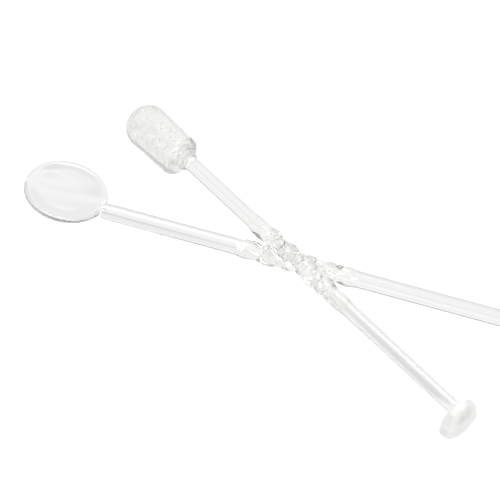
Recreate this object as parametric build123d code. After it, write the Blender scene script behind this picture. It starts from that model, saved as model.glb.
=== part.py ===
from build123d import *
import math
import os

# A crossed pair of hot-worked clear glass bar tools: a stirrer with a flat disc
# paddle lies on the table, and a muddler with a seeded glass head lies across it.
# Each tool is drawn along its own axis, with x = 0 at the middle of its rope twist,
# and is then set down in its rest pose. Z = 0 is the table. All sizes are millimetres.

# Rope twist, the same make-up in both tools
STRANDS = 3
STRAND_D = 4.6
STRAND_CENTRE_R = 2.78
TWIST_LEAD = 38.0
STIRRER_TWIST_TURN = 0
MUDDLER_TWIST_TURN = 60
TWIST_R = STRAND_CENTRE_R + STRAND_D / 2

# Gather at each end of a twist: its radius where the strands start, as a share of
# the twist's radius, and how far along it is widest
GATHER_ROOT = 0.86
GATHER_CREST_AT = 0.42

# Stirrer, along its axis
STIRRER_ROD_D = 8.0
STIRRER_TWIST_HALF = 18.0
STIRRER_GATHER_END = 28.4
STIRRER_GATHER_D = 10.2
STIRRER_NECK_D = 7.4
STIRRER_ROD_END = 104.0
STIRRER_TIP_R = 2.6
WELD_START = -84.5
WELD_END = -93.2
WELD_NOSE_R = 3.2
DISC_D = 39.0
DISC_T = 2.8
DISC_RIM_R = 1.3
DISC_X = -109.6
DISC_Y = 7.9

# Muddler, along its axis
MUDDLER_ROD_D = 7.2
MUDDLER_TWIST_HALF = 22.0
MUDDLER_GATHER_END = 32.4
MUDDLER_GATHER_D = 8.8
MUDDLER_NECK_D = 6.5
HEAD_END_D = 22.2
HEAD_SHOULDER_D = 20.0
HEAD_END = -114.6
HEAD_SHOULDER = -78.4
HEAD_DOME_R = 8.0
HEAD_SHOULDER_R = 3.5
HEAD_OFFSET = -1.5
CORE_END_D = 15.6
CORE_SHOULDER_D = 14.2
CORE_END = -110.2
CORE_SHOULDER = -83.5
CORE_END_R = 6.5
CORE_SHOULDER_R = 4.0
CORE_STEM_D = 6.4
NECK_SEAT_D = 10.4
NECK_SEAT_DEPTH = 1.6
NECK_RING_T = 2.3
NECK_RING_BULGE = 1.0
NECK_RING_DS = (10.0, 9.2)
MUDDLER_ROD_END = 103.0

# Muddler's button foot, with a small collar behind it
BUTTON_D = 20.7
BUTTON_T = 5.6
BUTTON_RIM_R = 2.0
BUTTON_OFFSET = -3.0
COLLAR_T = 2.2
COLLAR_BULGE = 0.9
COLLAR_D = 9.6

# Rest pose: where along each tool the muddler lies on the stirrer, and how far the
# lobes of the two twists settle into each other there
STIRRER_CROSSING_X = -12.9
MUDDLER_CROSSING_X = -16.5
MUDDLER_TURN = 38.4
CROSSING_NEST = 0.3
TABLE_GAP = 0.05


def about_axis(*outline):
    """Solid turned about the tool's axis from a closed run of edges above it."""
    return revolve(make_face(Wire(outline)), Axis.X)


def rod(start, end, diameter):
    """Plain round cane from start to end along the axis."""
    cane = Cylinder(diameter / 2, end - start, align=(Align.CENTER, Align.CENTER, Align.MIN))
    return Pos(start, 0, 0) * Rot(0, 90, 0) * cane


def strand(turn, half_length):
    """One cane of the rope twist, cut square at both ends of the twist."""
    run = 2 * half_length + STRAND_D * 2
    helix = Helix(TWIST_LEAD, run, STRAND_CENTRE_R)
    section = Plane(origin=helix @ 0, z_dir=helix % 0) * Circle(STRAND_D / 2)
    cane = sweep(section, path=helix, is_frenet=True)
    slab = Box(4 * TWIST_R, 4 * TWIST_R, 2 * half_length)
    cane = (Pos(0, 0, -run / 2) * cane) & slab
    return Rot(0, 90, 0) * Rot(0, 0, turn) * cane


def gather_crest(twist_end, rod_end):
    """Where along the axis a gather is widest."""
    return twist_end + GATHER_CREST_AT * (rod_end - twist_end)


def gather(twist_end, rod_end, bulge_d, neck_d):
    """Rounded bulb of glass that joins the end of the rope twist to a cane."""
    length = rod_end - twist_end
    root_r = GATHER_ROOT * TWIST_R
    crest = (gather_crest(twist_end, rod_end), bulge_d / 2)
    curve = Spline(
        (twist_end, root_r),
        crest,
        (rod_end, neck_d / 2),
        tangents=[(length, bulge_d / 4), (length, -bulge_d / 5)],
    )
    return about_axis(
        curve,
        Line((rod_end, neck_d / 2), (rod_end, 0)),
        Line((rod_end, 0), (twist_end, 0)),
        Line((twist_end, 0), (twist_end, root_r)),
    )


def bead(start, end, outer_d, bulge):
    """Short collar whose side bows outwards, between two flat ends."""
    end_d = outer_d - 2 * bulge
    middle = ((start + end) / 2, outer_d / 2)
    return about_axis(
        ThreePointArc((start, end_d / 2), middle, (end, end_d / 2)),
        Line((end, end_d / 2), (end, 0)),
        Line((end, 0), (start, 0)),
        Line((start, 0), (start, end_d / 2)),
    )


def button(start):
    """Pressed round foot with a rounded rim, set a little off the axis."""
    blank = Cylinder(BUTTON_D / 2, BUTTON_T, align=(Align.CENTER, Align.CENTER, Align.MIN))
    blank = fillet(blank.edges(), BUTTON_RIM_R)
    return Pos(start, BUTTON_OFFSET, 0) * Rot(0, 90, 0) * blank


def capped_barrel(end, shoulder, end_d, shoulder_d, end_r, shoulder_r):
    """Slightly tapered barrel from end to shoulder, rounded at both ends."""
    length = shoulder - end
    blank = Cone(end_d / 2, shoulder_d / 2, length, align=(Align.CENTER, Align.CENTER, Align.MIN))
    blank = fillet(blank.edges().sort_by(Axis.Z)[0], end_r)
    blank = fillet(blank.edges().sort_by(Axis.Z)[-1], shoulder_r)
    return Pos(end, 0, 0) * Rot(0, 90, 0) * blank


def twist(prefix, half_length, first_turn):
    """The strands of one tool's rope twist."""
    turns = [first_turn + 360 * i / STRANDS for i in range(STRANDS)]
    return {f"{prefix}_twist_strand_{i + 1}": strand(turns[i], half_length) for i in range(STRANDS)}


def stirrer_on_axis():
    """Every piece of the stirrer that lies along its axis."""
    upper_rod = rod(STIRRER_GATHER_END, STIRRER_ROD_END, STIRRER_ROD_D)
    pieces = {
        "stirrer_lower_rod": rod(WELD_START, -STIRRER_GATHER_END, STIRRER_ROD_D),
        "stirrer_lower_gather": mirror(
            gather(STIRRER_TWIST_HALF, STIRRER_GATHER_END, STIRRER_GATHER_D, STIRRER_ROD_D), Plane.YZ
        ),
        "stirrer_upper_gather": gather(
            STIRRER_TWIST_HALF, STIRRER_GATHER_END, STIRRER_GATHER_D, STIRRER_NECK_D
        ),
        "stirrer_upper_rod": fillet(upper_rod.edges().sort_by(Axis.X)[-1], STIRRER_TIP_R),
    }
    pieces.update(twist("stirrer", STIRRER_TWIST_HALF, STIRRER_TWIST_TURN))
    return pieces


def muddler_on_axis():
    """Every piece of the muddler, along its axis."""
    core_barrel = capped_barrel(
        CORE_END, CORE_SHOULDER, CORE_END_D, CORE_SHOULDER_D, CORE_END_R, CORE_SHOULDER_R
    )
    neck_start = HEAD_SHOULDER - NECK_SEAT_DEPTH
    core = Pos(0, HEAD_OFFSET, 0) * core_barrel
    core += rod(CORE_SHOULDER - 1, neck_start, CORE_STEM_D)
    head = Pos(0, HEAD_OFFSET, 0) * capped_barrel(
        HEAD_END, HEAD_SHOULDER, HEAD_END_D, HEAD_SHOULDER_D, HEAD_DOME_R, HEAD_SHOULDER_R
    )
    head -= rod(neck_start, HEAD_SHOULDER, NECK_SEAT_D)
    first_ring_end = neck_start + NECK_RING_T
    second_ring_end = first_ring_end + NECK_RING_T
    button_start = MUDDLER_ROD_END + COLLAR_T
    pieces = {
        "muddler_head_casing": head - core,
        "muddler_head_core": core,
        "muddler_neck_ring_1": bead(neck_start, first_ring_end, NECK_RING_DS[0], NECK_RING_BULGE),
        "muddler_neck_ring_2": bead(first_ring_end, second_ring_end, NECK_RING_DS[1], NECK_RING_BULGE),
        "muddler_upper_rod": rod(second_ring_end, -MUDDLER_GATHER_END, MUDDLER_ROD_D),
        "muddler_upper_gather": mirror(
            gather(MUDDLER_TWIST_HALF, MUDDLER_GATHER_END, MUDDLER_GATHER_D, MUDDLER_NECK_D), Plane.YZ
        ),
        "muddler_lower_gather": gather(
            MUDDLER_TWIST_HALF, MUDDLER_GATHER_END, MUDDLER_GATHER_D, MUDDLER_NECK_D
        ),
        "muddler_lower_rod": rod(MUDDLER_GATHER_END, MUDDLER_ROD_END, MUDDLER_ROD_D),
        "muddler_foot_collar": bead(MUDDLER_ROD_END, button_start, COLLAR_D, COLLAR_BULGE),
        "muddler_foot_button": button(button_start),
    }
    pieces.update(twist("muddler", MUDDLER_TWIST_HALF, MUDDLER_TWIST_TURN))
    return pieces


def stirrer_pose():
    """Place of the stirrer's axis.

    The weld at the disc just clears the table, and so does the bulb at the lower
    end of the twist, which lifts the rest of the tool.
    """
    weld_x = WELD_END + WELD_NOSE_R
    bulb_x = -gather_crest(STIRRER_TWIST_HALF, STIRRER_GATHER_END)
    step_up = (STIRRER_GATHER_D - STIRRER_ROD_D) / 2
    rise = math.atan2(step_up, bulb_x - weld_x)
    height = STIRRER_ROD_D / 2 + TABLE_GAP - weld_x * math.sin(rise)
    return Pos(0, 0, height) * Rot(0, -math.degrees(rise), 0)


def muddler_pose(stirrer_place):
    """Place of the muddler's axis.

    Its twist lies on the stirrer's twist, and the far end of its head's barrel
    touches the table.
    """
    crossing = (stirrer_place * Pos(STIRRER_CROSSING_X, 0, 0)).position
    height = crossing.Z + 2 * TWIST_R - CROSSING_NEST
    taper = (HEAD_END_D - HEAD_SHOULDER_D) / 2 / (HEAD_SHOULDER - HEAD_END)
    run = MUDDLER_CROSSING_X - HEAD_END - HEAD_DOME_R
    drop = HEAD_END_D / 2 - HEAD_DOME_R * (1 + taper)
    slant = math.hypot(run, drop)
    rise = math.asin((height - HEAD_DOME_R) / slant) - math.atan2(drop, run)
    turned = Rot(0, 0, -MUDDLER_TURN) * Rot(0, -math.degrees(rise), 0)
    return Pos(crossing.X, crossing.Y, height) * turned * Pos(-MUDDLER_CROSSING_X, 0, 0)


def disc_and_weld(stirrer_place):
    """Flat disc paddle lying on the table, and the weld that joins it to its cane."""
    blank = Cylinder(DISC_D / 2, DISC_T, align=(Align.CENTER, Align.CENTER, Align.MIN))
    blank = fillet(blank.edges(), DISC_RIM_R)
    middle = (stirrer_place * Pos(DISC_X, DISC_Y, 0)).position
    disc = Pos(middle.X, middle.Y, 0) * blank
    weld = rod(WELD_END, WELD_START, STIRRER_ROD_D)
    weld = fillet(weld.edges().sort_by(Axis.X)[0], WELD_NOSE_R)
    return {"stirrer_disc": disc, "stirrer_disc_weld": stirrer_place * weld - disc}


def rest_pose():
    """All the pieces, set down on the table."""
    stirrer_place = stirrer_pose()
    muddler_place = muddler_pose(stirrer_place)
    pieces = {name: stirrer_place * piece for name, piece in stirrer_on_axis().items()}
    pieces.update(disc_and_weld(stirrer_place))
    pieces.update({name: muddler_place * piece for name, piece in muddler_on_axis().items()})
    return pieces


def to_origin(pieces):
    """Shift the pair so the origin is the middle of its box, on the table."""
    boxes = [piece.bounding_box() for piece in pieces.values()]
    middle_x = (min(box.min.X for box in boxes) + max(box.max.X for box in boxes)) / 2
    middle_y = (min(box.min.Y for box in boxes) + max(box.max.Y for box in boxes)) / 2
    shift = Pos(-middle_x, -middle_y, 0)
    return {name: shift * piece for name, piece in pieces.items()}


os.makedirs("parts", exist_ok=True)
for node, piece in to_origin(rest_pose()).items():
    export_step(piece, f"parts/{node}.step")
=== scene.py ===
import math
import random

import bpy
import numpy as np
from mathutils import Matrix, Vector, noise


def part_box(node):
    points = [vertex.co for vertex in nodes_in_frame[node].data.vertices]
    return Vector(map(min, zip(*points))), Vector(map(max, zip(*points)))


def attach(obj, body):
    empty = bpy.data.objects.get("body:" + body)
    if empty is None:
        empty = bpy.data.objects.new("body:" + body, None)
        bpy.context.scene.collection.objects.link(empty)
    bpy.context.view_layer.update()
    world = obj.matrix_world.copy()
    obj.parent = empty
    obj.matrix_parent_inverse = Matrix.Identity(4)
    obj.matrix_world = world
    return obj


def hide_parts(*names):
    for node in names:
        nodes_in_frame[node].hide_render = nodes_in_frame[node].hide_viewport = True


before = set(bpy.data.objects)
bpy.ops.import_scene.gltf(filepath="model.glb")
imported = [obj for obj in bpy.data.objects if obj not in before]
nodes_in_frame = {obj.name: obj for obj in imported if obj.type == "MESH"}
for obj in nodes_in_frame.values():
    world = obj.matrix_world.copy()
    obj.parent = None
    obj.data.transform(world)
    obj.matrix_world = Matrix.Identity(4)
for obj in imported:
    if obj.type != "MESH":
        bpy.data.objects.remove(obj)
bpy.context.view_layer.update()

# Crossed pair of hot-worked clear glass bar tools on a white table. Each tool is
# built along its own axis, which is measured from the frame: x runs along the tool
# with 0 at the middle of its rope twist, y lies beside it and z above it.

MM = 0.001

# Mesh fineness: points round a skin, and steps along a worked part and a plain one
RING_POINTS = 128
FINE_STEP = 0.35 * MM
CANE_STEP = 1.0 * MM

# Joints of a tool: the sharpest edge, half the gap that keeps two pieces apart, and
# how far from a joint the glass is as uneven as anywhere else
END_ROUND = 0.012 * MM
JOINT_GAP = 0.005 * MM
JOINT_FADE = 4.0 * MM

# Fire-polished tip of the stirrer
TIP_ROUND = 2.6 * MM

# Rope twist: turns with the same lead as the frame's strands. The grooves are filled
# to a share of the rope's radius, with a sharper edge for a larger blend, and run out
# over the last stretch of the rope. The strands wander a little, in radians.
STRANDS = 3
TWIST_LEAD = 38.0 * MM
GROOVE_FLOOR = 0.78
GROOVE_BLEND = 12.0
GROOVE_RUN_OUT = 7.0 * MM
STRAND_WANDER = 0.16
STRAND_WANDER_LENGTH = 8.0 * MM

# Waist where the rope ends, as a share of its radius, and the bulb that follows it,
# as a share of the frame's gather, widest part of the way along to the cane
WAIST = 0.86
WAIST_RUN = 6.0 * MM
BULB = 0.94
BULB_CREST_AT = 0.55

# Seat in the shoulder of the muddler's head, where its neck sits
SEAT_ROOM = 0.1 * MM
SEAT_ROUND = 0.6 * MM

# How uneven each skin is: how deep it dips, as a share of the radius, and over what
# length
CANE_UNEVEN = (0.02, 30 * MM)
BEAD_UNEVEN = (0.03, 6 * MM)
DISC_UNEVEN = (0.012, 30 * MM)
WELD_UNEVEN = (0.05, 5 * MM)
HEAD_UNEVEN = (0.025, 14 * MM)
ROPE_UNEVEN = (0.02, 4 * MM)
CORE_UNEVEN = (0.06, 5 * MM)

# Ring beads: how far their sides swell, as a share of half their length
BEAD_BULGE = 1.2

# Disc: its rim's rounding and the depth of the waves left in its upper face by
# pressing, as shares of its thickness, and the length of those waves
DISC_RIM = 0.47
DISC_WAVES = 0.15
PRESS_WAVE = 11.0 * MM

# Rounded nose of the weld, inside the disc's rim: its length, and its radius as a
# share of the weld's
WELD_NOSE = 3.4 * MM
WELD_NOSE_RADIUS = 0.97

# Rounded shapes: 2 is an ellipse, and more is squarer
SQUARENESS = 2.2
HEAD_SQUARENESS = 2.5

# Head of the muddler: how far its end and its shoulder are rounded, outside and core,
# and how much of the core's stem is left out
HEAD_DOME = 10.5 * MM
HEAD_SHOULDER = 4.2 * MM
CORE_DOME = 7.0 * MM
CORE_SHOULDER = 5.0 * MM
CORE_SHORTER = 3.5 * MM

# Foot of the muddler: its rim's rounding as a share of its thickness, its lobes and
# notch as shares of its radius, with turns in radians, and the depth of the dents
# that go with the lobes
FOOT_RIM = 0.34
FOOT_LOBES = 5
FOOT_LOBE_PHASE = 0.6
FOOT_LOBE = 0.02
FOOT_NOTCH = 0.07
FOOT_OPPOSITE_NOTCH = 3.6
FOOT_NOTCH_WIDTH = 0.28
FOOT_DENT = 0.3 * MM

# Air bubbles: how many, and their smallest and largest half width
ROPE_BUBBLE = (0.08 * MM, 0.26 * MM)
STIRRER_ROPE_BUBBLES = 60
MUDDLER_ROPE_BUBBLES = 70
WELD_BUBBLE = (0.08 * MM, 0.22 * MM)
WELD_BUBBLES = 9
CORE_BUBBLE = (0.12 * MM, 0.5 * MM)
CORE_BUBBLES = 110

# Table top: half its side, and how far it lies under the pair, so as not to touch it
TABLE_HALF = 4.0
TABLE_LEVEL = -0.02 * MM

# Camera: its elevation and roll in degrees, its distance and the width of its field
# in metres, its sensor's width in millimetres, what it aims at, in metres right of and
# above the middle of the stirrer's twist, and its f-stop
CAMERA_ELEVATION = 45.0
CAMERA_ROLL = 15.8
CAMERA_DISTANCE = 1.2
CAMERA_FIELD = 0.225
SENSOR_WIDTH = 36.0
AIM_RIGHT = -0.0214
AIM_UP = 0.0059
F_STOP = 6.3


# Measuring the frame


class ToolAxis:
    """A tool's axis in the frame, from its two canes, and sizes measured about it."""

    def __init__(self, name, first_cane, second_cane):
        self.name = name
        first = sum(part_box(first_cane), Vector()) / 2
        second = sum(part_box(second_cane), Vector()) / 2
        along = (second - first).normalized()
        beside = Vector((0, 0, 1)).cross(along).normalized()
        turn = Matrix((along, beside, along.cross(beside))).transposed().to_4x4()
        # measured first from the first cane, then moved to the middle of the twist
        self.place = Matrix.Translation(first) @ turn
        middle = (self.span(first_cane)[1] + self.span(second_cane)[0]) / 2
        self.place = Matrix.Translation(first + along * middle) @ turn

    def points(self, node):
        """The node's points in the tool's own directions."""
        mesh = nodes_in_frame[node].data
        flat = np.zeros(len(mesh.vertices) * 3)
        mesh.vertices.foreach_get("co", flat)
        back = np.array(self.place.inverted())
        return flat.reshape(-1, 3) @ back[:3, :3].T + back[:3, 3]

    def span(self, node):
        """Where the node starts and ends along the axis."""
        along = self.points(node)[:, 0]
        return float(along.min()), float(along.max())

    def reach(self, node):
        """The node's smallest and largest distance from the axis."""
        across = np.hypot(*self.points(node)[:, 1:].T)
        return float(across.min()), float(across.max())

    def radius(self, node):
        """The node's largest distance from the axis."""
        return self.reach(node)[1]

    def offset(self, node):
        """How far the middle of the node lies beside the axis."""
        beside = self.points(node)[:, 1]
        return float(beside.min() + beside.max()) / 2

    def half_width(self, node, x):
        """Half the node's height where a plane across the axis cuts it at x."""
        mesh = nodes_in_frame[node].data
        pairs = np.zeros(len(mesh.edges) * 2, dtype=int)
        mesh.edges.foreach_get("vertices", pairs)
        ends = self.points(node)[pairs.reshape(-1, 2)]
        from_plane = ends[:, :, 0] - x
        cut = from_plane[:, 0] * from_plane[:, 1] < 0
        near, far = ends[cut, 0], ends[cut, 1]
        part = from_plane[cut, 0] / (from_plane[cut, 0] - from_plane[cut, 1])
        height = near[:, 2] + part * (far[:, 2] - near[:, 2])
        return float(np.ptp(height)) / 2

    def strand_turn(self):
        """Turn about the axis of the first strand, at the middle of the twist."""
        points = self.points(self.name + "_twist_strand_1")
        x, y, z = points.T
        swept = np.arctan2(z, y) - 2 * math.pi * x / TWIST_LEAD
        return math.atan2(np.sin(swept).mean(), np.cos(swept).mean())


# Mesh building


class Body:
    """Closed skins of one piece: its outside, and the walls of any hollow in it."""

    def __init__(self):
        self.points = []
        self.faces = []
        self.slots = []

    def add(self, rings, first, last, hollow=False, slot=0, fused=()):
        """A skin from rings of points, closed on a point at each end.

        A flat end named in fused, "first" or "last", is where it runs on into the
        next piece, and it takes the second material.
        """
        base = len(self.points)
        count = len(rings[0])
        for ring in rings:
            self.points += ring
        self.points += [first, last]
        for i in range(len(rings) - 1):
            near, far = base + i * count, base + (i + 1) * count
            at_seam = (i == 0 and "first" in fused) or (i == len(rings) - 2 and "last" in fused)
            for j in range(count):
                k = (j + 1) % count
                self.face((near + j, near + k, far + k, far + j), hollow, 1 if at_seam else slot)
        end = base + (len(rings) - 1) * count
        tip = base + len(rings) * count
        for j in range(count):
            k = (j + 1) % count
            self.face((tip, base + k, base + j), hollow, 1 if "first" in fused else slot)
            self.face((tip + 1, end + j, end + k), hollow, 1 if "last" in fused else slot)

    def face(self, corners, hollow, slot):
        """One face, turned to look into a hollow if it is the wall of one."""
        self.faces.append(corners[::-1] if hollow else corners)
        self.slots.append(slot)

    def turned(self, profile, shape, beside=0.0, count=RING_POINTS, **skin):
        """A skin turned from (x, radius) points, the first and last on the axis.

        shape(x, turn) is a share of the radius, and beside moves the skin sideways.
        """
        rings = []
        for x, radius in profile[1:-1]:
            ring = []
            for j in range(count):
                turn = 2 * math.pi * j / count
                ring.append(around(x, radius * shape(x, turn), turn, beside))
            rings.append(ring)
        first = (profile[0][0], beside, 0.0)
        last = (profile[-1][0], beside, 0.0)
        self.add(rings, first, last, **skin)

    def bubble(self, centre, along, length, width, slot=0, count=12):
        """A drawn-out air bubble: an ellipsoid hollow whose long side lies along."""
        along = Vector(along).normalized()
        side = along.orthogonal().normalized()
        up = along.cross(side)
        centre = Vector(centre)
        rings = []
        for i in range(1, count // 2):
            lean = 2 * math.pi * i / count
            ring = []
            for j in range(count):
                turn = 2 * math.pi * j / count
                across = side * math.cos(turn) + up * math.sin(turn)
                point = centre - along * length * math.cos(lean) + across * width * math.sin(lean)
                ring.append(tuple(point))
            rings.append(ring)
        ends = (tuple(centre - along * length), tuple(centre + along * length))
        self.add(rings, *ends, hollow=True, slot=slot)

    def fuse(self, touches):
        """Gives the second material to faces that lie on the next piece all over."""
        for i, corners in enumerate(self.faces):
            if all(touches(*self.points[corner]) for corner in corners):
                self.slots[i] = 1

    def piece(self, name, place, materials):
        """Blender object from the skins, set down in the frame."""
        mesh = bpy.data.meshes.new(name)
        mesh.from_pydata(self.points, [], self.faces)
        mesh.transform(place)
        mesh.polygons.foreach_set("use_smooth", [True] * len(mesh.polygons))
        mesh.polygons.foreach_set("material_index", self.slots)
        for material in materials:
            mesh.materials.append(material)
        mesh.update()
        made = bpy.data.objects.new(name, mesh)
        bpy.context.scene.collection.objects.link(made)
        return made


def around(x, off, turn, beside=0.0):
    """Point that lies off the axis at a turn about it."""
    return (x, beside + off * math.cos(turn), off * math.sin(turn))


def drift(x, y, z):
    """Slow noise between 0 and 1."""
    return 0.5 + 0.5 * noise.noise(Vector((x, y, z)))


def arc(middle, radius, start, end, steps=8):
    """Points of an arc round middle, with angles in degrees from the x direction."""
    points = []
    for i in range(steps + 1):
        angle = math.radians(start + (end - start) * i / steps)
        points.append((middle[0] + radius * math.cos(angle), middle[1] + radius * math.sin(angle)))
    return points


def straight(start, end, step):
    """Evenly spaced points strictly between start and end."""
    count = max(2, round(math.dist(start, end) / step))
    return [
        tuple(a + (b - a) * i / count for a, b in zip(start, end))
        for i in range(1, count)
    ]


def dome(tip, edge, radius, squareness=SQUARENESS, steps=28):
    """Points of a rounded end from the axis at tip to radius at edge."""
    points = []
    for i in range(steps + 1):
        angle = math.pi / 2 * i / steps
        out = math.sin(angle) ** (2 / squareness)
        back = 1 - math.cos(angle) ** (2 / squareness)
        points.append((tip + (edge - tip) * back, radius * out))
    return points


def wobble(seed, amount, size, *joints):
    """Share of the radius, at most 1, that wanders slowly as hand-worked glass does.

    It fades out towards each x in joints, so that the next piece meets it smoothly.
    """

    def shape(x, turn):
        depth = amount * drift(x / size, 0.7 * math.cos(turn), 0.7 * math.sin(turn) + seed)
        for joint in joints:
            depth *= min(1.0, abs(x - joint) / JOINT_FADE)
        return 1 - depth

    return shape


def blend_between(x, start, end):
    """0 before start, 1 after end, and smooth between them."""
    t = min(1.0, max(0.0, (x - start) / (end - start)))
    return t * t * (3 - 2 * t)


# Materials


def new_material(name):
    """Empty node material, and its nodes, links and output."""
    material = bpy.data.materials.new(name)
    material.use_nodes = True
    tree = material.node_tree
    tree.nodes.clear()
    return material, tree.nodes, tree.links, tree.nodes.new("ShaderNodeOutputMaterial")


def surface_noise(nodes, links, scale):
    """Noise in the piece's own space, in cycles per metre."""
    coords = nodes.new("ShaderNodeTexCoord")
    texture = nodes.new("ShaderNodeTexNoise")
    texture.inputs["Scale"].default_value = scale
    texture.inputs["Detail"].default_value = 2.0
    links.new(coords.outputs["Object"], texture.inputs["Vector"])
    return texture.outputs["Fac"]


def between(nodes, links, value, start, end, low=0.0, high=1.0):
    """low where the value is start, high where it is end, and even steps between."""
    spread = nodes.new("ShaderNodeMapRange")
    spread.inputs["From Min"].default_value = start
    spread.inputs["From Max"].default_value = end
    spread.inputs["To Min"].default_value = low
    spread.inputs["To Max"].default_value = high
    links.new(value, spread.inputs["Value"])
    return spread.outputs["Result"]


def ranged(nodes, links, value, low, high):
    """A noise value, which is seldom outside NOISE_RANGE, moved to low to high."""
    return between(nodes, links, value, *NOISE_RANGE, low, high)


def set_input(links, socket, value):
    """Puts an output, or a plain colour, into an input."""
    if isinstance(value, tuple):
        socket.default_value = (*value, 1)
    else:
        links.new(value, socket)


def mixed(nodes, links, share, first, second):
    """Colour between two colours, each a plain one or an output."""
    mix = nodes.new("ShaderNodeMix")
    mix.data_type = "RGBA"
    links.new(share, mix.inputs["Factor"])
    set_input(links, mix.inputs["A"], first)
    set_input(links, mix.inputs["B"], second)
    return mix.outputs["Result"]


def colour_ramp(nodes, links, value, stops):
    """Grey levels, a little warm, that change with a value, from (value, level) stops."""
    ramp = nodes.new("ShaderNodeValToRGB")
    elements = ramp.color_ramp.elements
    while len(elements) < len(stops):
        elements.new(0.5)
    for element, (position, level) in zip(elements, stops):
        element.position = position
        element.color = (level, level, 0.995 * level, 1)
    links.new(value, ramp.inputs["Fac"])
    return ramp.outputs["Color"]


def glass(name, tint, ior, roughness, grain, ripple, milk=0.0):
    """Glass with a faint tint, uneven polish and ripples ripple metres high.

    grain is how many of its finest marks there are to a metre. milk is the share of
    light that fine bubbles and haze scatter in the glass.
    """
    material, nodes, links, output = new_material(name)
    value = surface_noise(nodes, links, grain)
    shader = nodes.new("ShaderNodeBsdfGlass")
    shader.inputs["IOR"].default_value = ior
    links.new(ranged(nodes, links, value, *roughness), shader.inputs["Roughness"])
    colour = mixed(nodes, links, surface_noise(nodes, links, grain / 4), *tint)
    links.new(colour, shader.inputs["Color"])
    bump = nodes.new("ShaderNodeBump")
    bump.inputs["Distance"].default_value = ripple
    links.new(value, bump.inputs["Height"])
    links.new(bump.outputs["Normal"], shader.inputs["Normal"])
    surface = shader.outputs["BSDF"]
    if milk:
        surface = milky(nodes, links, surface, milk, grain)
    links.new(surface, output.inputs["Surface"])
    return material


def milky(nodes, links, clear, milk, grain):
    """Clear glass mixed with uneven scattering, half of it passing on through."""
    forward = nodes.new("ShaderNodeBsdfTranslucent")
    forward.inputs["Color"].default_value = (*MILK, 1)
    back = nodes.new("ShaderNodeBsdfDiffuse")
    back.inputs["Color"].default_value = (*MILK, 1)
    haze = nodes.new("ShaderNodeMixShader")
    links.new(forward.outputs["BSDF"], haze.inputs[1])
    links.new(back.outputs["BSDF"], haze.inputs[2])
    mix = nodes.new("ShaderNodeMixShader")
    value = surface_noise(nodes, links, grain / 2)
    share = ranged(nodes, links, value, (1 - MILK_UNEVEN) * milk, (1 + MILK_UNEVEN) * milk)
    links.new(share, mix.inputs["Fac"])
    links.new(clear, mix.inputs[1])
    links.new(haze.outputs["Shader"], mix.inputs[2])
    return mix.outputs["Shader"]


def how_far_along(nodes, links, vector, direction):
    """How far a vector reaches in a direction."""
    dot = nodes.new("ShaderNodeVectorMath")
    dot.operation = "DOT_PRODUCT"
    dot.inputs[1].default_value = direction
    links.new(vector, dot.inputs[0])
    return dot.outputs["Value"]


def painted_lit_part(nodes, links, position):
    """1 where the table is painted lighter as seen through glass, on its painted lit side and beyond
    its painted lit end; 0 on the rest.
    """
    across = how_far_along(nodes, links, position, TOWARDS_PAINTED_LIT_SIDE)
    along = how_far_along(nodes, links, position, (1, 0, 0))
    larger = nodes.new("ShaderNodeMath")
    larger.operation = "MAXIMUM"
    links.new(between(nodes, links, across, *PAINTED_LIT_SIDE), larger.inputs[0])
    links.new(between(nodes, links, along, *PAINTED_LIT_END), larger.inputs[1])
    return larger.outputs["Value"]


def painted_shade_through_glass(nodes, links, ray_length):
    """Brightness of the table at the end of a ray that has been through glass.

    It is painted shade and painted light, grey and white bands that stand in for the
    glass's shadows and caustics on the table. It depends on how far the ray heads away
    from the camera's side, on how far the glass is from the table, and on the part of
    the table where the ray ends.
    """
    geometry = nodes.new("ShaderNodeNewGeometry")
    away = how_far_along(nodes, links, geometry.outputs["Incoming"], (0, -1, 0))
    close = colour_ramp(nodes, links, away, PAINTED_SHADE_CLOSE)
    far = colour_ramp(nodes, links, away, PAINTED_SHADE_FAR)
    lit = colour_ramp(nodes, links, away, PAINTED_LIGHT_LIT_PART)
    shaded = mixed(nodes, links, between(nodes, links, ray_length, *CLOSE_TO_FAR), close, far)
    side = painted_lit_part(nodes, links, geometry.outputs["Position"])
    return mixed(nodes, links, side, shaded, lit)


def table_white():
    """Matt white table, which looks greyer where it is seen through the glass.

    Seen directly it glows a little and is lit by the room. Seen through glass it shows
    painted shade and painted light instead: glowing grey and white bands that stand in
    for the glass's shadows and caustics on the table.
    """
    material, nodes, links, output = new_material("table_white")
    paper = nodes.new("ShaderNodeBsdfDiffuse")
    shade = nodes.new("ShaderNodeCombineColor")
    level = ranged(nodes, links, surface_noise(nodes, links, TABLE_GRAIN), *TABLE_SHADES)
    for channel in ("Red", "Green", "Blue"):
        links.new(level, shade.inputs[channel])
    links.new(shade.outputs["Color"], paper.inputs["Color"])
    glow = nodes.new("ShaderNodeEmission")
    glow.inputs["Strength"].default_value = TABLE_GLOW
    direct = nodes.new("ShaderNodeAddShader")
    links.new(paper.outputs["BSDF"], direct.inputs[0])
    links.new(glow.outputs["Emission"], direct.inputs[1])
    # Camera rays see the lit table; every other ray sees painted shade and painted light.
    path = nodes.new("ShaderNodeLightPath")
    seen = nodes.new("ShaderNodeEmission")
    links.new(painted_shade_through_glass(nodes, links, path.outputs["Ray Length"]), seen.inputs["Color"])
    choose = nodes.new("ShaderNodeMixShader")
    links.new(path.outputs["Is Camera Ray"], choose.inputs["Fac"])
    links.new(seen.outputs["Emission"], choose.inputs[1])
    links.new(direct.outputs["Shader"], choose.inputs[2])
    links.new(choose.outputs["Shader"], output.inputs["Surface"])
    material.cycles.emission_sampling = "NONE"
    return material


# Range that the values of a noise texture mostly keep to
NOISE_RANGE = (0.3, 0.7)
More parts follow.
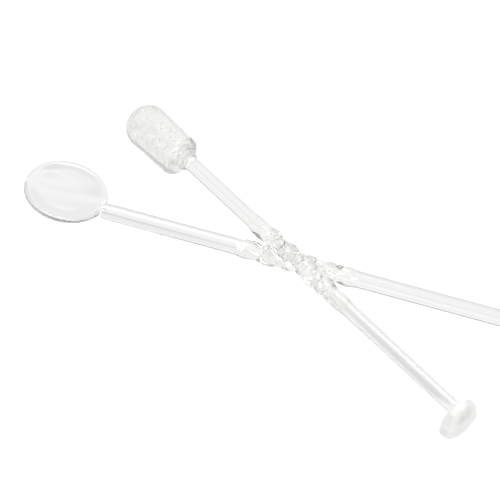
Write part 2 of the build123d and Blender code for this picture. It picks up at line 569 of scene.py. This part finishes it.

# Painted shade and painted light: how bright the table is at the end of a ray that
# has been through glass, in place of the glass's shadows and caustics. Pairs of how
# far the ray heads away from the camera's side and the brightness, where glass lies
# close to the table, where it is held far above it, and on the painted lit part. A ray
# that the glass has not turned heads 0.707 away.
PAINTED_SHADE_CLOSE = (
    (0.0, 0.78), (0.20, 0.84), (0.40, 0.98), (0.54, 1.0), (0.64, 0.88), (0.685, 0.86), (0.70, 1.0),
    (0.714, 1.0), (0.735, 0.80), (0.79, 0.70), (0.86, 0.86), (1.0, 0.90),
)
PAINTED_SHADE_FAR = (
    (0.0, 0.78), (0.40, 0.86), (0.56, 0.84), (0.66, 0.74), (0.80, 0.72), (0.94, 0.74), (1.0, 0.82),
)
PAINTED_LIGHT_LIT_PART = (
    (0.0, 0.80), (0.40, 0.92), (0.60, 0.92), (0.68, 0.91), (0.705, 0.85), (0.73, 0.88), (0.78, 0.90),
    (0.82, 1.0), (0.86, 1.0), (0.91, 0.91), (1.0, 0.96),
)

# Where one painted look passes into the next: glass close to the table and far above
# it, and the start of the painted lit side, which lies beyond the pair, and of the
# painted lit right end
CLOSE_TO_FAR = (12 * MM, 24 * MM)
TOWARDS_PAINTED_LIT_SIDE = (0.25, 1.0, 0.0)
PAINTED_LIT_SIDE = (5 * MM, 25 * MM)
PAINTED_LIT_END = (92 * MM, 96 * MM)

# Table seen directly
TABLE_GLOW = 0.45
TABLE_GRAIN = 900.0
TABLE_SHADES = (0.93, 0.95)

# Haze in the glass: its colour, and how much its amount varies
MILK = (0.998, 0.998, 0.992)
MILK_UNEVEN = 0.15

# Tints of the glass: each runs between two colours
PALE = ((0.972, 0.977, 0.975), (0.980, 0.984, 0.982))
WARM = ((0.982, 0.982, 0.975), (0.992, 0.992, 0.986))
BRIGHT = ((0.990, 0.990, 0.986), (0.997, 0.997, 0.993))
UNTINTED = ((1.0, 1.0, 1.0), (1.0, 1.0, 1.0))

# How much glass bends light. In a seam, where two pieces of glass are fused, it goes
# nearly straight on.
GLASS_IOR = 1.5
SEAM_IOR = 1.003

clear_glass = glass("clear_glass", PALE, GLASS_IOR, (0.0, 0.012), 260.0, 0.006 * MM)
twist_glass = glass("twist_glass", WARM, GLASS_IOR, (0.0, 0.03), 420.0, 0.01 * MM, milk=0.12)
frosted_glass = glass("frosted_glass", WARM, GLASS_IOR, (0.01, 0.06), 800.0, 0.008 * MM, milk=0.25)
pressed_glass = glass("pressed_glass", BRIGHT, GLASS_IOR, (0.02, 0.1), 900.0, 0.03 * MM, milk=0.5)
seeded_glass = glass("seeded_glass", PALE, GLASS_IOR, (0.0, 0.04), 900.0, 0.02 * MM)
fused_seam = glass("fused_seam", UNTINTED, SEAM_IOR, (0.0, 0.0), 500.0, 0.0)


# Pieces


def add_piece(made, body, slot, *nodes):
    """Fastens a piece to its body, and hides the nodes it stands for. Its finish, slot, is not used.
    """
    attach(made, body)
    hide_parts(*nodes)
    return made


def cane(tool, node, name, seed, tip_round=END_ROUND, fused=("first", "last")):
    """Round cane from joint to joint, or from a joint to a fire-polished tip."""
    start, end = tool.span(node)
    start += JOINT_GAP
    end -= JOINT_GAP
    radius = tool.radius(node)
    profile = [(start, 0.0), (start, radius * 0.5)]
    profile += arc((start + END_ROUND, radius - END_ROUND), END_ROUND, 180, 90)
    profile += straight((start + END_ROUND, radius), (end - tip_round, radius), CANE_STEP)
    profile += arc((end - tip_round, radius - tip_round), tip_round, 90, 0, 16)
    profile += [(end, (radius - tip_round) * 0.5), (end, 0.0)]
    body = Body()
    body.turned(profile, wobble(seed, *CANE_UNEVEN, start, end), fused=fused)
    made = body.piece(name, tool.place, [clear_glass, fused_seam])
    return add_piece(made, tool.name, "clear_glass", node)


def rope_lobe(turn, ring_radius, strand_radius):
    """Radius of the fused rope at a turn from the middle of a strand."""
    outer = ring_radius + strand_radius
    inside = strand_radius ** 2 - (ring_radius * math.sin(turn)) ** 2
    lobe = ring_radius * math.cos(turn) + math.sqrt(max(inside, 0.0))
    floor = GROOVE_FLOOR * outer
    return (max(lobe, 0.0) ** GROOVE_BLEND + floor ** GROOVE_BLEND) ** (1 / GROOVE_BLEND)


def rope_twist(tool, seed, bubbles):
    """Fused rope twist and the bulb at each end of it, as one run of glass."""
    strand = tool.name + "_twist_strand_1"
    gathers = [tool.name + "_lower_gather", tool.name + "_upper_gather"]
    strands = [f"{tool.name}_twist_strand_{i + 1}" for i in range(STRANDS)]
    half = tool.span(strand)[1]
    inner, outer = tool.reach(strand)
    ring_radius = (outer + inner) / 2
    strand_radius = (outer - inner) / 2
    first_turn = tool.strand_turn()
    spans = {gather: tool.span(gather) for gather in gathers}
    start = min(span[0] for span in spans.values())
    end = max(span[1] for span in spans.values())
    necks = {-1: start, 1: end}
    bulbs = {}
    neck_radii = {}
    for gather, span in spans.items():
        side = 1 if span[1] > 0 else -1
        bulbs[side] = tool.radius(gather)
        neck_radii[side] = tool.radius(gather.replace("gather", "rod"))

    def crest(x):
        """Radius over the crests of the rope, then the waist, then the bulb."""
        side = 1 if x > 0 else -1
        out = abs(x)
        neck = abs(necks[side])
        peak = half + BULB_CREST_AT * (neck - half)
        waist = WAIST * outer
        bulb = BULB * bulbs[side]
        if out < half:
            return outer + (waist - outer) * blend_between(out, half - WAIST_RUN, half)
        if out < peak:
            return waist + (bulb - waist) * blend_between(out, half, peak)
        return bulb + (neck_radii[side] - bulb) * blend_between(out, peak, neck)

    def share(x, turn):
        """Share of the crest radius at a turn: the rope's lobes, fading in the bulbs."""
        side = 1 if x > 0 else -1
        depth = 1 - blend_between(abs(x), half - GROOVE_RUN_OUT, abs(necks[side]))
        local = turn - first_turn - 2 * math.pi * x / TWIST_LEAD
        local += STRAND_WANDER * noise.noise(Vector((x / STRAND_WANDER_LENGTH, seed, 0)))
        sector = 2 * math.pi / STRANDS
        local = (local + sector / 2) % sector - sector / 2
        lobe = rope_lobe(local, ring_radius, strand_radius) / outer
        amount, size = ROPE_UNEVEN
        uneven = amount * min(1.0, (abs(necks[side]) - abs(x)) / JOINT_FADE)
        uneven *= drift(x / size, 1.5 * math.cos(turn), 1.5 * math.sin(turn) + seed)
        return (1 - depth * (1 - lobe)) * (1 - uneven)

    start += JOINT_GAP
    end -= JOINT_GAP
    low, high = neck_radii[-1], neck_radii[1]
    profile = [(start, 0.0), (start, low * 0.5)]
    profile += arc((start + END_ROUND, low - END_ROUND), END_ROUND, 180, 100)
    first, last = start + END_ROUND, end - END_ROUND
    profile += [(x, crest(x)) for x, _ in straight((first, 0), (last, 0), FINE_STEP)]
    profile += arc((last, high - END_ROUND), END_ROUND, 80, 0)
    profile += [(end, high * 0.5), (end, 0.0)]
    body = Body()
    body.turned(profile, share, fused=("first", "last"))
    # bubbles between the strands and inside them, drawn out the way the strands run
    draw = random.Random(seed)
    for _ in range(bubbles):
        x = draw.uniform(-half, half)
        turn = first_turn + 2 * math.pi * (x / TWIST_LEAD + draw.randrange(STRANDS) / STRANDS)
        off = draw.uniform(0.1, 1.15) * ring_radius
        turn += draw.uniform(-0.35, 0.35)
        pitch = 2 * math.pi * off / TWIST_LEAD
        along = (1.0, -pitch * math.sin(turn), pitch * math.cos(turn))
        width = draw.uniform(*ROPE_BUBBLE)
        body.bubble(around(x, off, turn), along, width * draw.uniform(1.2, 4.0), width)
    made = body.piece(tool.name + "_rope_twist", tool.place, [twist_glass, fused_seam])
    return add_piece(made, tool.name, "clear_glass", *gathers, *strands)


def ring_bead(tool, node, name, seed):
    """Short collar of glass with a rounded side."""
    start, end = tool.span(node)
    start += JOINT_GAP
    end -= JOINT_GAP
    radius = tool.radius(node)
    middle, half = (start + end) / 2, (end - start) / 2
    bulge = BEAD_BULGE * half
    neck = radius - bulge
    profile = [(start, 0.0), (start, 0.6 * neck)]
    for i in range(25):
        angle = math.pi * i / 24
        profile.append((middle - half * math.cos(angle), neck + bulge * math.sin(angle)))
    profile += [(end, 0.6 * neck), (end, 0.0)]
    body = Body()
    body.turned(profile, wobble(seed, *BEAD_UNEVEN), fused=("first", "last"))
    made = body.piece(name, tool.place, [clear_glass, fused_seam])
    return add_piece(made, tool.name, "clear_glass", node)


def disc_paddle(tool):
    """Pressed round paddle: flat below, with faint waves in its upper face."""
    low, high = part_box("stirrer_disc")
    radius = (high.x - low.x) / 2
    thick = high.z - low.z
    rim = DISC_RIM * thick
    flat = radius - rim
    profile = [(0.0, flat * i / 24) for i in range(25)]
    profile += arc((rim, flat), rim, 180, 0, 32)[1:-1]
    profile += [(thick, flat * (1 - i / 60)) for i in range(61)]
    middle = (low + high) / 2
    upright = Matrix.Rotation(math.radians(-90), 4, "Y")
    place = Matrix.Translation((middle.x, middle.y, low.z)) @ upright
    body = Body()
    shape = wobble(5.0, *DISC_UNEVEN)
    body.turned(profile, lambda x, turn: shape(0.0, turn), count=2 * RING_POINTS)
    for i, (x, y, z) in enumerate(body.points):
        if x > thick - JOINT_GAP:
            inward = 1 - blend_between(math.hypot(y, z), 0.7 * flat, flat)
            wave = drift(y / PRESS_WAVE, z / (2 * PRESS_WAVE), 2.0)
            body.points[i] = (x - DISC_WAVES * thick * inward * wave, y, z)
    to_tool = tool.place.inverted() @ place
    weld_radius = tool.radius("stirrer_lower_rod")
    disc_middle = (to_tool @ Vector()).x

    def under_weld(x, y, z):
        """True on the rim where the weld is joined to it."""
        spot = to_tool @ Vector((x, y, z))
        near = math.hypot(spot.y, spot.z) < 0.95 * weld_radius and spot.x > disc_middle
        return near and x < 0.9 * thick and math.hypot(y, z) > flat

    body.fuse(under_weld)
    made = body.piece("stirrer_disc_paddle", place, [clear_glass, fused_seam])
    return add_piece(made, tool.name, "clear_glass", "stirrer_disc")


def disc_weld(tool):
    """Hot-worked joint where the cane runs into the rim of the disc."""
    node = "stirrer_disc_weld"
    low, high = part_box("stirrer_disc")
    disc = (low + high) / 2
    rim_radius = (high.x - low.x) / 2
    thick = high.z - low.z
    start, end = tool.span(node)
    end -= JOINT_GAP
    radius = tool.half_width(node, end - END_ROUND)
    nose = start + WELD_NOSE
    nose_radius = WELD_NOSE_RADIUS * radius
    profile = dome(start, nose, nose_radius, steps=20)
    profile += straight((nose, nose_radius), (end - END_ROUND, radius), FINE_STEP)
    profile += arc((end - END_ROUND, radius - END_ROUND), END_ROUND, 90, 0)
    profile += [(end, radius * 0.5), (end, 0.0)]
    body = Body()
    body.turned(profile, wobble(9.0, *WELD_UNEVEN, end), fused=("last",))
    back = tool.place.inverted()
    rim = thick / 2
    touching = set()
    for i, point in enumerate(body.points):
        spot = tool.place @ Vector(point)
        lift = (spot.z - low.z - rim) / (rim + 2 * JOINT_GAP)
        if abs(lift) < 1:
            edge = rim_radius - rim + rim * math.sqrt(1 - lift * lift) + 2 * JOINT_GAP
            out = Vector((spot.x - disc.x, spot.y - disc.y))
            if out.length < edge:
                out = out.normalized() * edge
                body.points[i] = tuple(back @ Vector((disc.x + out.x, disc.y + out.y, spot.z)))
                touching.add(i)
    for i, corners in enumerate(body.faces):
        if touching.issuperset(corners):
            body.slots[i] = 1
    draw = random.Random(31)
    for _ in range(WELD_BUBBLES):
        turn = draw.uniform(0, 2 * math.pi)
        off = draw.uniform(0.1, 0.75) * radius
        x = draw.uniform(end - 6 * MM, end - 4 * MM)
        width = draw.uniform(*WELD_BUBBLE)
        body.bubble(around(x, off, turn), (1, 0, 0), width * draw.uniform(1.0, 1.8), width)
    made = body.piece("stirrer_disc_weld_bead", tool.place, [clear_glass, fused_seam])
    return add_piece(made, tool.name, "clear_glass", node)


def barrel(start, end, start_radius, end_radius, start_dome, end_dome, squareness=SQUARENESS):
    """Profile of a tapered barrel with a rounded end and a rounded shoulder."""
    first = (start + start_dome, start_radius)
    last = (end - end_dome, end_radius)
    profile = dome(start, *first)
    profile += straight(first, last, CANE_STEP)
    profile += dome(end, *last, squareness)[::-1]
    return profile


def head_casing(tool):
    """Smooth outer glass of the muddler's head, hollow where the seeded core sits."""
    node, core = "muddler_head_casing", "muddler_head_core"
    start, end = tool.span(node)
    beside = tool.offset(node)
    # measured clear of the frame's own rounding at either end
    end_radius = tool.half_width(node, start + 9 * MM)
    shoulder_radius = tool.half_width(node, end - 5 * MM)
    body = Body()
    rounding = (HEAD_DOME, HEAD_SHOULDER, HEAD_SQUARENESS)
    outside = barrel(start, end, end_radius, shoulder_radius, *rounding)
    body.turned(outside, wobble(14.0, *HEAD_UNEVEN), beside)
    floor = tool.span("muddler_neck_ring_1")[0] - JOINT_GAP
    seat = tool.radius("muddler_neck_ring_1") + SEAT_ROOM
    for i, (x, y, z) in enumerate(body.points):
        across = math.hypot(y, z)
        if x > end - 3 * MM and across < seat + SEAT_ROUND:
            height = blend_between(across, seat, seat + SEAT_ROUND)
            body.points[i] = (floor + (x - floor) * height, y, z)
    body.fuse(lambda x, y, z: abs(x - floor) < JOINT_GAP and math.hypot(y, z) < seat)
    inside = core_profile(tool, core, 0.0)
    body.turned(inside, core_shape, beside, hollow=True, slot=1)
    made = body.piece("muddler_head_outer_glass", tool.place, [frosted_glass, fused_seam])
    return add_piece(made, tool.name, "frosted_glass", node)


def core_profile(tool, node, gap):
    """Barrel of the head's core, a gap smaller all round."""
    start, end = tool.span(node)
    end -= CORE_SHORTER
    wide = tool.half_width(node, start + CORE_DOME) - gap
    narrow = tool.half_width(node, end - CORE_SHOULDER) - gap
    return barrel(start + gap, end - gap, wide, narrow, CORE_DOME, CORE_SHOULDER)


def core_shape(x, turn):
    """Uneven skin of the core."""
    amount, size = CORE_UNEVEN
    return 1 - amount * drift(x / size, 2 * math.cos(turn), 2 * math.sin(turn))


def head_core(tool):
    """Seeded middle of the head, full of small round bubbles."""
    node = "muddler_head_core"
    start, end = tool.span(node)
    beside = tool.offset("muddler_head_casing")
    body = Body()
    body.turned(core_profile(tool, node, 2 * JOINT_GAP), core_shape, beside)
    draw = random.Random(47)
    reach = 0.55 * tool.half_width(node, start + CORE_DOME)
    for _ in range(CORE_BUBBLES):
        x = draw.uniform(start + 3 * MM, end - 7 * MM)
        off = reach * math.sqrt(draw.random())
        turn = draw.uniform(0, 2 * math.pi)
        width = draw.uniform(*CORE_BUBBLE)
        centre = around(x, off, turn, beside)
        body.bubble(centre, (1, 0, 0), width * draw.uniform(1.0, 1.5), width, slot=1)
    made = body.piece("muddler_head_seeded_core", tool.place, [fused_seam, seeded_glass])
    return add_piece(made, tool.name, "seeded_glass", node)


def foot_button(tool):
    """Pressed button foot with a lobed outline and a dimpled outer face."""
    node = "muddler_foot_button"
    start, end = tool.span(node)
    start += JOINT_GAP
    beside = tool.offset(node)
    radius = tool.half_width(node, (start + end) / 2)
    rim = FOOT_RIM * (end - start)
    flat = radius - rim
    profile = [(start, flat * i / 30) for i in range(31)]
    profile += arc((start + rim, flat), rim, 180, 90, 12)[1:]
    profile += arc((end - rim, flat), rim, 90, 0, 12)
    profile += [(end, flat * (1 - i / 24)) for i in range(1, 25)]

    def lobes(x, turn):
        """Shallow lobes and one deeper notch in the outline."""
        scallop = FOOT_LOBE * (0.5 - 0.5 * math.cos(FOOT_LOBES * turn + FOOT_LOBE_PHASE))
        from_notch = (turn - FOOT_OPPOSITE_NOTCH) % (2 * math.pi) - math.pi
        notch = FOOT_NOTCH * math.exp(-(from_notch / FOOT_NOTCH_WIDTH) ** 2)
        return 1 - scallop - notch

    body = Body()
    body.turned(profile, lobes, beside)
    for i, (x, y, z) in enumerate(body.points):
        across = math.hypot(y - beside, z)
        turn = math.atan2(z, y - beside)
        if x > start + rim:
            dent = 0.5 + 0.5 * math.cos(FOOT_LOBES * turn + FOOT_LOBE_PHASE)
            inward = blend_between(across, 0.1 * radius, 0.4 * radius)
            inward *= 1 - blend_between(across, 0.6 * radius, 0.9 * radius)
            body.points[i] = (x - FOOT_DENT * dent * inward, y, z)
    collar = 0.9 * tool.half_width("muddler_foot_collar", start - 2 * JOINT_GAP)
    body.fuse(lambda x, y, z: x < start + JOINT_GAP and math.hypot(y, z) < collar)
    made = body.piece("muddler_foot_pressed_button", tool.place, [pressed_glass, fused_seam])
    return add_piece(made, tool.name, "pressed_glass", node)


def stirrer_pieces(tool):
    """Everything that shows on the stirrer."""
    disc_paddle(tool)
    disc_weld(tool)
    cane(tool, "stirrer_lower_rod", "stirrer_lower_cane", 1.0)
    rope_twist(tool, 21, STIRRER_ROPE_BUBBLES)
    cane(tool, "stirrer_upper_rod", "stirrer_upper_cane", 2.0, TIP_ROUND, ("first",))


def muddler_pieces(tool):
    """Everything that shows on the muddler."""
    head_casing(tool)
    head_core(tool)
    ring_bead(tool, "muddler_neck_ring_1", "muddler_neck_bead_1", 3.0)
    ring_bead(tool, "muddler_neck_ring_2", "muddler_neck_bead_2", 4.0)
    cane(tool, "muddler_upper_rod", "muddler_upper_cane", 5.0)
    rope_twist(tool, 22, MUDDLER_ROPE_BUBBLES)
    cane(tool, "muddler_lower_rod", "muddler_lower_cane", 6.0)
    ring_bead(tool, "muddler_foot_collar", "muddler_foot_bead", 7.0)
    foot_button(tool)


# Studio


def studio_floor():
    """White table top."""
    mesh = bpy.data.meshes.new("table_top")
    sides = ((-1, -1), (1, -1), (1, 1), (-1, 1))
    corners = [(x * TABLE_HALF, y * TABLE_HALF, TABLE_LEVEL) for x, y in sides]
    mesh.from_pydata(corners, [], [(0, 1, 2, 3)])
    mesh.materials.append(table_white())
    table = bpy.data.objects.new("table_top", mesh)
    bpy.context.scene.collection.objects.link(table)


# Brightness of the room by the height of a direction, beyond the table and behind the
# camera, and where the one passes into the other
FAR_ROOM = ((0.0, 0.5), (0.05, 0.3), (0.2, 0.35), (0.35, 0.9), (0.64, 1.0), (0.70, 0.3), (0.78, 1.0))
NEAR_ROOM = ((0.0, 0.26), (0.25, 0.32), (0.4, 0.8), (0.5, 1.0))
NEAR_TO_FAR = (-0.3, 0.3)
ROOM_STRENGTH = 1.2


def studio_room():
    """Bright room, white overhead and greyer low down, darkest behind the camera."""
    world = bpy.data.worlds.new("room")
    bpy.context.scene.world = world
    world.use_nodes = True
    nodes, links = world.node_tree.nodes, world.node_tree.links
    nodes.clear()
    coords = nodes.new("ShaderNodeTexCoord")
    split = nodes.new("ShaderNodeSeparateXYZ")
    links.new(coords.outputs["Generated"], split.inputs["Vector"])
    side = between(nodes, links, split.outputs["Y"], *NEAR_TO_FAR)
    near = colour_ramp(nodes, links, split.outputs["Z"], NEAR_ROOM)
    far = colour_ramp(nodes, links, split.outputs["Z"], FAR_ROOM)
    shade = nodes.new("ShaderNodeBackground")
    shade.inputs["Strength"].default_value = ROOM_STRENGTH
    links.new(mixed(nodes, links, side, near, far), shade.inputs["Color"])
    output = nodes.new("ShaderNodeOutputWorld")
    links.new(shade.outputs["Background"], output.inputs["Surface"])


def soft_light(name, place, size, power):
    """Large soft light aimed at the middle of the object, in metres and watts."""
    light = bpy.data.lights.new(name, "AREA")
    light.shape = "RECTANGLE"
    light.size, light.size_y = size
    light.energy = power
    lamp = bpy.data.objects.new(name, light)
    lamp.location = place
    lamp.rotation_euler = Vector(place).to_track_quat("Z", "Y").to_euler()
    bpy.context.scene.collection.objects.link(lamp)


def studio_camera(tool):
    """Long lens, rolled a little, aimed beside the crossing and focused on it."""
    lean, roll = math.radians(CAMERA_ELEVATION), math.radians(CAMERA_ROLL)
    level = Vector((1, 0, 0))
    rise = Vector((0, math.sin(lean), math.cos(lean)))
    back = Vector((0, -math.cos(lean), math.sin(lean)))
    right = level * math.cos(roll) + rise * math.sin(roll)
    up = rise * math.cos(roll) - level * math.sin(roll)
    crossing = tool.place.translation
    aim = crossing + right * AIM_RIGHT + up * AIM_UP
    data = bpy.data.cameras.new("camera")
    data.sensor_width = SENSOR_WIDTH
    data.lens = SENSOR_WIDTH * CAMERA_DISTANCE / CAMERA_FIELD
    focus = bpy.data.objects.new("focus", None)
    focus.location = crossing
    data.dof.use_dof = True
    data.dof.focus_object = focus
    data.dof.aperture_fstop = F_STOP
    body = bpy.data.objects.new("camera", data)
    turn = Matrix((right, up, back)).transposed().to_4x4()
    body.matrix_world = Matrix.Translation(aim + back * CAMERA_DISTANCE) @ turn
    bpy.context.scene.collection.objects.link(focus)
    bpy.context.scene.collection.objects.link(body)
    bpy.context.scene.camera = body


def light_paths():
    """Enough bounces for glass seen through glass, and plain colours."""
    scene = bpy.context.scene
    scene.cycles.max_bounces = 32
    scene.cycles.transmission_bounces = 32
    scene.cycles.glossy_bounces = 12
    scene.cycles.use_denoising = True
    scene.view_settings.view_transform = "Standard"


stirrer = ToolAxis("stirrer", "stirrer_lower_rod", "stirrer_upper_rod")
muddler = ToolAxis("muddler", "muddler_upper_rod", "muddler_lower_rod")
stirrer_pieces(stirrer)
muddler_pieces(muddler)
studio_floor()
studio_room()
soft_light("overhead_light", (-0.28, 0.5, 1.6), (0.7, 0.6), 8.0)
soft_light("front_fill", (0.7, -1.0, 0.95), (0.8, 0.5), 9.0)
studio_camera(stirrer)
light_paths()
